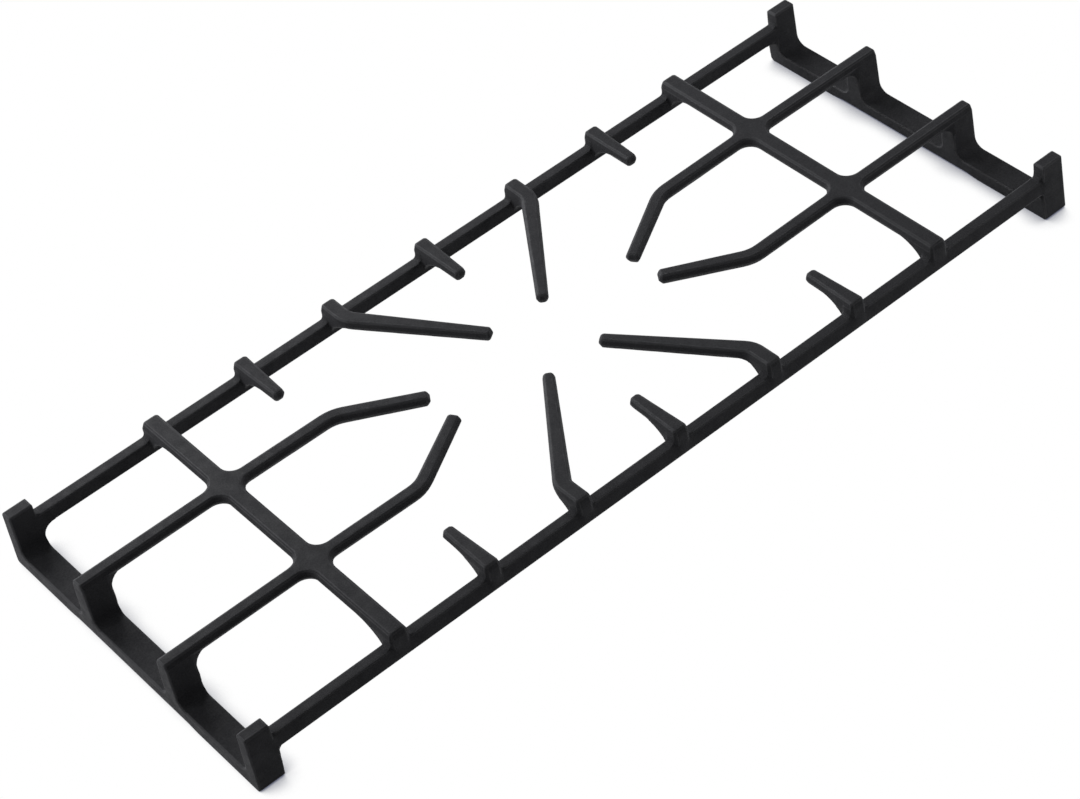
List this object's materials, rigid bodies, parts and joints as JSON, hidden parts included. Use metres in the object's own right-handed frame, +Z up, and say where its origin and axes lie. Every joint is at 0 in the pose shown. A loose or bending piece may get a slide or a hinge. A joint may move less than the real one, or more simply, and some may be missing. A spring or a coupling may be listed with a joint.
{
  "type": "hob pan support",
  "caption": "Rectangular cast-iron pan support for the middle of a gas hob: feet, side rails, crossbars and fingers that hold pans over burners.",
  "frame": {"origin": "on the plane of the feet, under the middle of the support", "axes": "+X along the longer side, +Y across it, +Z up from the hob plate to the pans"},
  "size_m": [0.57, 0.227, 0.038],
  "materials": {
    "casting": "matte black enamel with a fine sandy grain"
  },
  "bodies": {
    "root": {"pan_support": "casting"}
  },
  "joints": []
}
